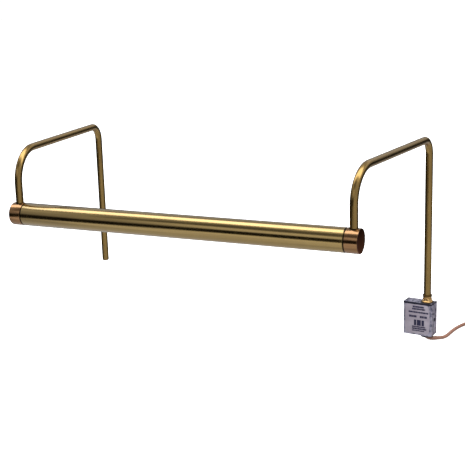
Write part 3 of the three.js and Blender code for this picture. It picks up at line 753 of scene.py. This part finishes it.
def add_lamp_lead():
    side = 11.6
    height = 9.2
    start = END_X - 32
    points = [(start, 0, 0), (start - 5, 0, 0), (start - 13, side * 0.55, height * 0.5)]
    points += [(x, side, height) for x in (start - 22, start - 34, start - 60, 100, -60,
                                           FIRST_LAMP + HOLDER_LENGTH + 14)]
    make("lamp_lead_wire", swept(smooth_line(points, 8), 1.2, 16), "lead_insulation",
         SHADE_INSIDE, "shade", node="lamp_lead")


def add_shade_end(side):
    """One end cap, with the disc and nut that the shade turns on behind it."""
    place = SHADE_AXIS @ turn(math.pi, "Z") if side == "left" else SHADE_AXIS

    # A slightly domed disc is let into the end of the cap. Its darker, redder bronze is painted
    # shade on the end face.
    disc_edge = SHADE_RADIUS - 0.2
    disc_seat = END_X - 1.6
    disc_back = disc_seat + 0.1
    crown = 1.0
    curve = (disc_edge ** 2 + crown ** 2) / (2 * crown)
    span = math.degrees(math.asin(disc_edge / curve))
    face = [(radius, along) for along, radius in
            arc((END_X - 0.05 - curve, 0), curve, span * 0.97, 0, 16)]
    end_disc = rounded([(0, disc_back), (disc_edge - 0.3, disc_back), (disc_edge, disc_back + 0.2),
                        (disc_edge, END_X - 1.15), face[0]], 0.25, 4) + face[1:]
    make(f"{side}_cap_disc", revolved(end_disc, 160), "plum_painted_shade", place)

    mouth = END_X - CAP_LENGTH + 0.2
    pocket = 15.5
    wall = END_X - 3.1
    skirt = rounded([(pocket, mouth), (SHADE_RADIUS, mouth), (SHADE_RADIUS, disc_seat),
                     (SHADE_RADIUS - 1.5, disc_seat), (0, disc_seat)], 0.3, 4)
    cup = revolved(skirt + [(0, wall), (pocket, wall), (pocket, mouth)], 160)
    upright = place @ shift(LEG_X, 0, 0) @ UPRIGHT
    bore = TUBE_RADIUS + 1.0
    # A near-black ring round the leg's foot: painted shade where the leg enters the cap.
    make(f"{side}_leg_seal", band(TUBE_RADIUS + 0.1, bore - 0.05, SEAT + 0.05, SEAT + 1.7, ring=64),
         "bronze_painted_shade", upright)
    make(f"{side}_cap_cup", cup, "bronze_cap", place, node=f"{side}_end_cap",
         cuts=[moved(rod(bore, SEAT, SHADE_RADIUS + 6), upright),
               moved(rod(NIPPLE_HOLE, 8, SEAT + 1, 48), upright)])

    pivot = 6.3                      # holes for the hollow pivot
    rim = SHADE_RADIUS - SHADE_WALL - GAP
    disc = offset(END_X, [(pivot, -25.3), (rim - 1.2, -25.3), (rim - 1.2, -32.3), (rim, -32.3),
                          (rim, -23.8), (pivot, -23.8)])
    make(f"{side}_turning_disc", ring_form(disc, 0.5), "brushed_brass",
         place, "shade", node=f"{side}_shade_disc")
    # A near-black ring in the seam: painted shade in the gap between the cap and the shade tube.
    make(f"{side}_seam_ring", band(16.2, 18.0, mouth - SEAM - 0.1, mouth - 0.15), "bronze_painted_shade",
         place)
    nut = offset(END_X, [(pivot, -28.9), (7.6, -28.9), (9.3, -28.2), (9.3, -25.9), (9.0, -25.7),
                         (pivot, -25.7)])
    make(f"{side}_pivot_hex", ring_form(nut, ring=144, limit=hexagon(16)), "bright_steel", place,
         node=f"{side}_pivot_nut")


# ---------------- arms

def arm_route(drop_end, bend_steps=28):
    """Stations (y, z) of an arm's centreline from its leg, about the leg's own axis."""
    front = arc((FRONT_BEND, RISE - FRONT_BEND), FRONT_BEND, 180, 90, bend_steps)
    back = arc((REACH - BACK_BEND, RISE - BACK_BEND), BACK_BEND, 90, 0, bend_steps // 2)
    return [(0, SEAT + GAP)] + front + back + [(REACH, drop_end - SHADE_Z)]


def add_arm(side, sign, drop_end):
    """A bent tube whose open ends are turned in, so that its wall shows at each end."""
    route = arm_route(drop_end)
    line = [route[0]]
    for before, after in zip(route, route[1:]):
        pieces = 12 if math.dist(before, after) > 40 else 1
        for k in range(1, pieces + 1):
            t = k / pieces
            line.append((before[0] + (after[0] - before[0]) * t,
                         before[1] + (after[1] - before[1]) * t))

    def raised(spot, rise):
        return (spot[0], spot[1] + rise)

    start, end = line[0], line[-1]
    edge = 0.25
    depth = 20
    outer = tube_rows(line, TUBE_RADIUS)
    outer[0] = [(x, y, z + edge) for x, y, z in outer[0]]
    outer[-1] = [(x, y, z + edge) for x, y, z in outer[-1]]
    first = tube_rows([start, raised(start, 1)], TUBE_RADIUS - edge)[0]
    last = tube_rows([raised(end, 1), end], TUBE_RADIUS - edge)[-1]
    low_bore = tube_rows([start, raised(start, depth)], TUBE_BORE)
    high_bore = tube_rows([raised(end, depth), end], TUBE_BORE)
    rows = [[(0, *raised(start, depth))], low_bore[1], low_bore[0], first, *outer,
            last, high_bore[1], high_bore[0], [(0, *raised(end, depth))]]
    make(f"{side}_arm_tube", skin(rows), "antique_brass",
         shift(sign * LEG_X, SHADE_Y, SHADE_Z) @ turn(-sign * ARM_TURN, "Z"), node=f"{side}_arm")


def add_left_plug():
    radius = TUBE_RADIUS - 0.15
    stem = TUBE_BORE - GAP
    button = rounded(offset(LEFT_DROP_END, [
        (0, -2.9), (radius - 1.6, -2.7), (radius, -1.5), (radius, -GAP), (stem, -GAP), (stem, 7),
        (0, 7),
    ]), 0.8, 4)
    make("left_arm_button", revolved(button, 72), "antique_brass", shift(-DROP_X, 0, 0) @ UPRIGHT,
         node="left_arm_end_plug")


# ---------------- wiring box

DROP = shift(DROP_X, 0, 0) @ turn(-ARM_TURN, "Z")


def add_fitting():
    """Collar, ring and flanged nut between the right drop tube and the box."""
    axis = DROP @ UPRIGHT
    hole = NIPPLE_HOLE
    bottom = RIGHT_DROP_END - GAP
    sleeve = TUBE_RADIUS + 0.2
    collar = offset(bottom, [(hole, -1.2), (8.1, -1.2), (8.1, 1.7), (sleeve, 2.1), (sleeve, 0),
                             (hole, 0)])
    make("drop_collar", ring_form(collar, 0.5, 4), "aged_bronze", axis, node="fitting_collar")

    ring_bottom = bottom - 4.7
    bead = offset(ring_bottom, [(hole, 0), (7.2, 0), (7.7, 1.6), (7.2, 3.2), (hole, 3.2)])
    make("drop_ring", ring_form(bead, 0.9, 5), "polished_brass", axis, node="fitting_ring")

    nut_top = ring_bottom - GAP
    nut_bottom = BOX_TOP + GAP
    # A black washer under the nut: painted shade round the nut's foot on the box top.
    make("nut_shade_washer", band(hole, 12, BOX_TOP + 0.03, nut_bottom - 0.03, 0.1, 2), "black_nylon", axis)
    flange = offset(nut_bottom, [(hole, 0), (9.6, 0), (9.9, 1.2), (9.2, 2.6), (7.4, 3.4),
                                 (hole, 3.4)])
    head = [(hole, nut_bottom + 1), (9.4, nut_bottom + 1), (9.4, nut_top - 1.3),
            (7.7, nut_top - 0.1), (7.4, nut_top), (hole, nut_top)]
    make("drop_nut", ring_form(flange, 0.7, 4, 144), "polished_brass", axis, node="fitting_nut",
         joins=[moved(ring_form(head, ring=144, limit=hexagon(15.4)), axis)])


def add_box():
    back = BOX_DEPTH / 2
    front = -back
    wrap = front + 8.0               # the cover's side flanges reach this far back
    step = 0.8
    shell_front = front + SHEET + GAP
    full = slab(BOX_LEFT, BOX_RIGHT, wrap + 0.25, back, BOX_BOTTOM, BOX_TOP)
    neck = slab(BOX_LEFT + step, BOX_RIGHT - step, shell_front, wrap + 2,
                BOX_BOTTOM + 0.1, BOX_TOP - 0.1)
    hollow = slab(BOX_LEFT + step + SHEET, BOX_RIGHT - step - SHEET, shell_front - 1, back - SHEET,
                  BOX_BOTTOM + SHEET, BOX_TOP - SHEET)
    make("box_shell", full, "zinc_steel", DROP, bevel=0.5, steps=3, node="box_body",
         joins=[moved(neck, DROP)], cuts=[moved(hollow, DROP)])

    # The cover is one sheet: its front face and a flange round each side.
    gauge = 0.7
    corner = 2.6
    outside = [(BOX_LEFT, wrap), (BOX_LEFT, front), (BOX_RIGHT, front), (BOX_RIGHT, wrap)]
    inside = [(BOX_RIGHT - gauge, wrap), (BOX_RIGHT - gauge, front + gauge),
              (BOX_LEFT + gauge, front + gauge), (BOX_LEFT + gauge, wrap)]
    sheet = pushed(rounded(outside, corner, 8) + rounded(inside, corner - gauge, 8),
                   BOX_BOTTOM + 0.1, BOX_TOP - 0.1)
    make("box_front", sheet, "zinc_steel", DROP, bevel=0.2, node="box_cover")

    # A near-black lip round the top of the box: painted shade along the cover's top edge and the
    # top's sides.
    lip = offset(BOX_TOP, [(front - 0.35, -2.9), (front - 0.35, 0.35), (front + 2.1, 0.35),
                           (front + 2.1, -0.4), (front + 0.6, -0.4), (front + 0.6, -2.9)])
    front_lip = pushed(rounded(lip, 0.35, 3, closed=True), BOX_LEFT + 0.6, BOX_RIGHT - 0.2, "X")
    side_lips = [pushed(rectangle(x0, x0 + 1.6, BOX_TOP - 1.7, BOX_TOP + 0.3),
                        front + 0.5, back - 0.5, "Y")
                 for x0 in (BOX_LEFT - 0.2, BOX_RIGHT - 1.4)]
    make("box_top_shade_lip", merged(front_lip, *side_lips), "zinc_painted_shade", DROP, bevel=0.2)
    add_label(front)

    head = rounded([(0, -4), (1.6, -4), (1.6, GAP), (3.3, GAP), (3.0, 1.4), (0, 1.9)], 0.5, 4)
    for side, wall, heading in (("right", BOX_RIGHT, 0), ("left", BOX_LEFT, math.pi)):
        place = DROP @ shift(wall, SCREW_Y, SCREW_Z) @ turn(heading, "Z")
        cross = [moved(slab(1.1, 2.2, -2.1, 2.1, -0.35, 0.35), place @ turn(angle, "X"))
                 for angle in (0.5, 0.5 + math.pi / 2)]
        # The screw heads are near-black: painted shade.
        make(f"{side}_box_screw", revolved(head, 48), "zinc_painted_shade", place,
             node=f"{side}_cover_screw", cuts=cross)


LABEL_BARS = [
    # distance down, height, and the runs across, from the label's top left corner
    (2.2, 3.3, [(13.5, 34)]),
    (6.4, 3.1, [(12.5, 36)]),
    (12.2, 3.0, [(6, 42)]),
    (19.5, 3.8, [(7, 21), (26.5, 39.5)]),
    (38.6, 2.5, [(12.5, 37)]),
    (42.0, 2.8, [(12.5, 38.5)]),
    (45.9, 2.0, [(12.5, 35)]),
]
LABEL_BLOCKS = [(16, 20.2), (21.4, 28.6), (29.8, 34.4)]


def add_label(front):
    """A blank metallised label with plain bars where a maker's text would be."""
    left = BOX_LEFT + 3.9
    right = BOX_RIGHT - 2.4
    top = BOX_TOP - 3.2
    bottom = BOX_BOTTOM + 2.6
    face = front - 0.42
    outline = [(left, bottom), (right - 3, bottom), (right - 1.2, bottom + 16),
               (right - 1.6, bottom + 34), (right - 3.4, top - 4), (right - 6, top), (left, top)]
    sheet = pushed(rounded(outline, 6, 8, closed=True), face, face + 0.3, "Y")
    make("blank_label", sheet, "label_film", DROP, bevel=0.08, node="rating_label")

    bars = []
    for down, height, runs in LABEL_BARS:
        for at, end in runs:
            tick = 0
            while at < end:
                width = 2.7 + 1.3 * math.sin(2.3 * tick + down)
                bars.append((at, min(at + width, end), down, height))
                at += width + 0.35
                tick += 1
    bars += [(start, end, 27.2, 10.4) for start, end in LABEL_BLOCKS]
    forms = []
    for start, end, down, height in bars:
        outline = rectangle(left + start, left + end, top - down - height, top - down)
        forms.append(pushed(rounded(outline, 0.2, 2, closed=True), face - 0.05, face + 0.05, "Y"))
    make("label_bars", merged(*forms), "label_ink", DROP)


def add_bushing():
    """A flange snapped under the box, and a ribbed snout that slants the lead down and out."""
    under = BOX_BOTTOM - GAP
    disc = rounded(offset(under, [(0, -3), (11, -3), (11, 0), (6, 0), (6, 4), (0, 4)]), 0.9, 5)
    flange = make("bushing_flange", revolved(disc, 72), "black_nylon",
                  shift(DROP_X, 0, 0) @ UPRIGHT, node="cord_bushing")

    route = smooth_line([(0, -3.2, under - 0.5), (0, 0, under - 3.8), (0, 4, SNOUT_Z + 2.05),
                         (0, 9, SNOUT_Z + 0.55), (0, 14, SNOUT_Z + 0.05),
                         (0, SNOUT_TIP, SNOUT_Z)], 8)
    rows = tube_rows([(y, z) for _, y, z in route], 1.0)
    ribbed_from = len(route) // 3
    for i, row in enumerate(rows):
        radius = ELBOW_RADIUS - 0.5 * i / len(rows)
        if i > ribbed_from and i % 5 in (3, 4):
            radius -= 0.35
        rows[i] = [tuple(route[i] + (Vector(spot) - route[i]) * radius) for spot in row]
    form = skin([[tuple(route[0])], *rows, [tuple(route[-1])]])
    snout = make("bushing_snout", form, "tan_vinyl",
                 shift(DROP_X, 0, 0) @ turn(SNOUT_HEADING - math.pi / 2, "Z"))
    return [flange, snout]


# ---------------- pieces on the lead

def add_switch():
    """Two moulded shells round a ribbed thumb wheel."""
    half = SWITCH_LENGTH / 2
    side = [(-half, 4.6), (-half + 4, SWITCH_HALF_WIDTH - 1.2), (-half + 14, SWITCH_HALF_WIDTH),
            (half - 14, SWITCH_HALF_WIDTH), (half - 4, SWITCH_HALF_WIDTH - 1.2), (half, 4.6)]
    outline = rounded(side + [(x, -y) for x, y in reversed(side)], 6, 6, closed=True)
    middle = FLOOR + SWITCH_HEIGHT / 2
    wheel_place = shift(WHEEL_X, WHEEL_Y, 0)
    made = []
    for name, low, high in (("lower", FLOOR + 0.05, middle - GAP / 2),
                            ("upper", middle + GAP / 2, FLOOR + SWITCH_HEIGHT)):
        well = moved(rod(WHEEL_RADIUS + 0.8, middle - 3.6, middle + 3.6), wheel_place @ UPRIGHT)
        made.append(make(f"{name}_switch_shell", pushed(outline, low, high), "switch_plastic",
                         shift(WHEEL_X, SWITCH_Y, 0), bevel=1.3, steps=4,
                         node=f"switch_{name}_shell", cuts=[well]))
    rim = []
    corners = 4 * 30                 # four to each of the rim's teeth
    for i in range(corners):
        angle = 2 * math.pi * i / corners
        radius = WHEEL_RADIUS - (0.55 if i % 4 in (2, 3) else 0.0)
        rim.append((radius * math.cos(angle), radius * math.sin(angle)))
    made.append(make("thumb_wheel", pushed(rim, middle - 3, middle + 3), "black_nylon",
                     wheel_place, "switch_wheel", bevel=0.25, node="switch_wheel", sharp=25))
    return made


def add_tie():
    """A strap over the coil's turns, tucked in on each side of them."""
    near = COIL_LEAST - CORD_RADIUS - 1.2
    far = COIL_TURN + CORD_RADIUS + 0.2 + GAP
    gauge = 1.1
    foot = FLOOR + 0.2
    over = FLOOR + COIL_HEIGHT + GAP
    outline = rounded([(near - gauge, foot), (near, foot), (near, over), (far, over), (far, foot),
                       (far + gauge, foot), (far + gauge, over + gauge),
                       (near - gauge, over + gauge)], 1.2, 5, closed=True)
    return make("coil_strap", pushed(outline, -4, 4, "X"), "black_nylon",
                shift(COIL_X, COIL_Y, 0) @ turn(-math.pi / 2, "Z"), bevel=0.3, node="cord_tie")


def oval(x, half_width, half_height, power, ring=64):
    """One section of the plug: an oval that gets squarer as power grows."""
    row = []
    for j in range(ring):
        angle = 2 * math.pi * j / ring
        c, s = math.cos(angle), math.sin(angle)
        row.append((x, half_width * math.copysign(abs(c) ** (2 / power), c),
                    half_height * math.copysign(abs(s) ** (2 / power), s)))
    return row


def add_plug():
    """A moulded three-pin plug with a ribbed relief and finger grips, lying on its side."""
    place = shift(PLUG_RELIEF, PLUG_Y, PLUG_Z) @ turn(math.pi, "Z")
    relief = 22.0
    end = relief + 34
    pin_rise = 6.4
    sections = [(0, 3.7, 3.7, 2), (0.4, 4.1, 4.1, 2)]
    for k in range(5):
        at = 1.6 + 3.7 * k
        radius = 4.1 + 2.0 * at / relief
        sections += [(at + on, radius + more, radius + more, 2)
                     for on, more in ((0, 0), (0.3, -0.8), (1.4, -0.8), (1.7, 0.1))]
    sections += [(20.2, 6.0, 6.0, 2), (22.5, 7.6, 7.0, 2.2), (25, 9.6, 8.3, 2.4),
                 (28, 11.0, 9.1, 2.5)]
    grips = [(30 + 3.0 * k + on, width, height) for k in range(4)
             for on, width, height in ((0, 11.5, 9.4), (0.5, 10.8, 9.1), (1.6, 10.8, 9.1),
                                       (2.1, 11.6, 9.5))]
    head = [(44, 12.3, 9.8), (end - 3, 12.5, 9.85), (end - 0.9, 12.5, 9.85),
            (end - 0.25, 12.2, 9.55), (end, 11.6, 8.95)]
    sections += [(*section, 2.6) for section in grips + head]
    rows = [[(0, 0, 0)], *[oval(*section) for section in sections], [(end, 0, 0)]]
    hole_end = end - 8.3
    holes = [slab(hole_end, end + 1, -7.4, -5.3, -3.5, 3.5),
             slab(hole_end, end + 1, 5.3, 7.4, -4.2, 4.2),
             moved(rod(2.7, hole_end, end + 1, 40), shift(0, 0, pin_rise))]
    made = [make("moulded_plug", skin(rows), "tan_vinyl", place, node="plug_body",
                 cuts=[moved(hole, place) for hole in holes], sharp=40)]
    for name, y, half in (("line", -6.35, 3.2), ("neutral", 6.35, 3.9)):
        blade = rounded([(end - 8, -half), (end + 15.6, -half), (end + 17, -half + 1.4),
                         (end + 17, half - 1.4), (end + 15.6, half), (end - 8, half)],
                        0.8, 3, closed=True)
        eye = moved(rod(1.6, -3, 3, 32), place @ shift(end + 12, y, 0) @ turn(math.pi / 2, "Z"))
        made.append(make(f"{name}_blade", pushed(blade, y - 0.75, y + 0.75, "Y"),
                         "polished_brass", place, bevel=0.2, node=f"plug_{name}_blade",
                         cuts=[eye]))
    pin = rounded(offset(end, [(0, -8), (2.4, -8), (2.4, 18), (1.5, 20), (0, 20)]), 1.4, 5)
    made.append(make("ground_pin", revolved(pin, 40), "polished_brass",
                     place @ shift(0, 0, pin_rise), node="plug_ground_pin"))
    return made


# ---------------- inner CAD pieces that stay

KEPT = {
    "dark_bronze": ["left_pivot_plate", "right_pivot_plate"],
    "bright_steel": ["left_friction_washer", "right_friction_washer", "left_leg_nipple",
                     "right_leg_nipple", "box_nipple", "box_lock_nut"],
    "polished_brass": ["left_leg_nut", "right_leg_nut"],
    "lead_insulation": ["arm_lead"],
    "green_screw": ["ground_screw"],
    "orange_plastic": ["wire_connector_1", "wire_connector_2"],
}


def finish_kept_nodes():
    for look, nodes in KEPT.items():
        for node in nodes:
            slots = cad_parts[node].data.materials
            slots.clear()
            slots.append(LOOKS[look])


# ---------------- studio

def add_floor():
    """A wide pale floor. What the metals and plastics see below them is the world's lower half."""
    reach = 30000
    top = FLOOR - 0.4
    floor = new_object("floor", slab(-reach, reach, -reach, reach, top - 20, top), Matrix())
    floor.data.materials.append(LOOKS["floor"])
    floor.visible_glossy = False
    floor.visible_diffuse = False


def add_light(name, kind, place, aim, **settings):
    data = bpy.data.lights.new(name, kind)
    for key, value in settings.items():
        setattr(data, key, value)
    light = bpy.data.objects.new(name, data)
    light.location = place
    light.rotation_mode = "QUATERNION"
    light.rotation_quaternion = (Vector(aim) - Vector(place)).to_track_quat("-Z", "Y")
    bpy.context.collection.objects.link(light)
    return light


# What the metal mirrors in each direction: stops of elevation in degrees and brightness.
FAR_LEFT_BANDS = [(-75, 0.62), (-38, 0.92), (-22, 0.96), (-19, 0.012), (4, 0.012), (12, 0.42),
                  (29, 0.46), (35, 0.08), (62, 0.09), (72, 0.95)]
LEFT_BANDS = [(-75, 0.55), (-38, 0.84), (-15.5, 0.92), (-12.5, 0.010), (12, 0.010), (18, 0.80),
              (33, 1.0), (39, 0.15), (60, 0.16), (67, 0.8)]
CAMERA_BANDS = [(-70, 0.52), (-30, 0.58), (-14, 0.60), (0, 0.58), (20, 0.52), (40, 0.48),
                (58, 0.55), (70, 0.85)]
REAR_LEFT_BANDS = [(-80, 0.60), (-55, 0.62), (-36, 0.45), (-24, 0.28), (-19, 0.02), (5, 0.02),
                   (12, 0.24), (22, 0.36), (32, 0.58), (44, 0.44), (58, 0.46), (72, 0.95)]
REAR_BANDS = [(-55, 0.70), (-26, 0.58), (-18, 0.20), (-10, 0.04), (-6, 0.015), (7, 0.015),
              (12, 0.30), (22, 0.50), (31, 0.95), (38, 0.95), (46, 0.42), (58, 0.35), (66, 0.75)]


def add_world():
    """Bands of light and dark round the object for the metal to mirror."""
    world = bpy.data.worlds.new("studio")
    world.use_nodes = True
    tree = world.node_tree
    direction = add_node(tree, "TexCoord").outputs["Generated"]

    def reach(heading, low, high):
        """0 to 1 as a direction turns towards a heading."""
        dot = add_node(tree, "VectorMath", {0: direction, 1: heading}, operation="DOT_PRODUCT")
        inputs = {"Value": dot.outputs["Value"], "From Min": low, "From Max": high}
        return add_node(tree, "MapRange", inputs).outputs["Result"]

    height = reach((0, 0, 1), -1, 1)

    def bands(stops):
        """A ramp over the world's height, from stops of elevation and brightness."""
        return add_ramp(tree, height, [((math.sin(math.radians(elevation)) + 1) / 2, (value,) * 3)
                                       for elevation, value in stops])

    def blend(factor, first, second):
        inputs = {"Fac": factor, "Color1": first, "Color2": second}
        return add_node(tree, "MixRGB", inputs).outputs["Color"]

    rightwards = (1, 0, 0)
    to_front = (math.sin(CAMERA_AZIMUTH), -math.cos(CAMERA_AZIMUTH), 0)
    rear = blend(reach(rightwards, -0.3, 0.0), bands(REAR_LEFT_BANDS), bands(REAR_BANDS))
    left = blend(reach(rightwards, -0.6, -0.36), bands(FAR_LEFT_BANDS), bands(LEFT_BANDS))
    front = blend(reach(rightwards, 0.0, 0.2), left, bands(CAMERA_BANDS))
    surround = blend(reach(to_front, 0.10, 0.30), rear, front)
    tree.links.new(surround, tree.nodes["Background"].inputs["Color"])
    tree.nodes["Background"].inputs["Strength"].default_value = 1.15
    bpy.context.scene.world = world


def add_backdrop():
    """A white dome that only the camera sees."""
    dome = bmesh.new()
    bmesh.ops.create_uvsphere(dome, u_segments=48, v_segments=24, radius=14000)
    backdrop = new_object("backdrop", dome, Matrix())
    white = Look("backdrop_white", 0.5, Base_Color=(0, 0, 0, 1), Emission_Color=(1, 1, 1, 1),
                 Emission_Strength=1.0)
    backdrop.data.materials.append(white.material)
    for ray in ("diffuse", "glossy", "transmission", "shadow", "volume_scatter"):
        setattr(backdrop, f"visible_{ray}", False)


def add_studio():
    add_floor()
    add_world()
    add_light("overhead", "AREA", (0, -0.25, 1.25), (0, -0.25, 0),
              energy=22, shape="RECTANGLE", size=3.2, size_y=0.66)
    key = add_light("key", "SUN", (0.6, -0.8, 2.0), (0, 0, 0), energy=1.9, angle=math.radians(50))
    key.visible_glossy = False
    add_backdrop()
    bpy.context.scene.view_settings.view_transform = "Standard"


# ---------------- assembly

add_camera()
lead, lead_points = add_lead()
on_the_lead = [*add_bushing(), *add_switch(), add_tie(), *add_plug()]

add_shade()
for index in range(3):
    add_lamp(index + 1, FIRST_LAMP + LAMP_PITCH * index)
add_lamp_lead()
add_shade_end("right")
add_shade_end("left")
add_arm("left", -1, LEFT_DROP_END)
add_arm("right", 1, RIGHT_DROP_END)
add_left_plug()
add_fitting()
add_box()
finish_kept_nodes()

add_studio()
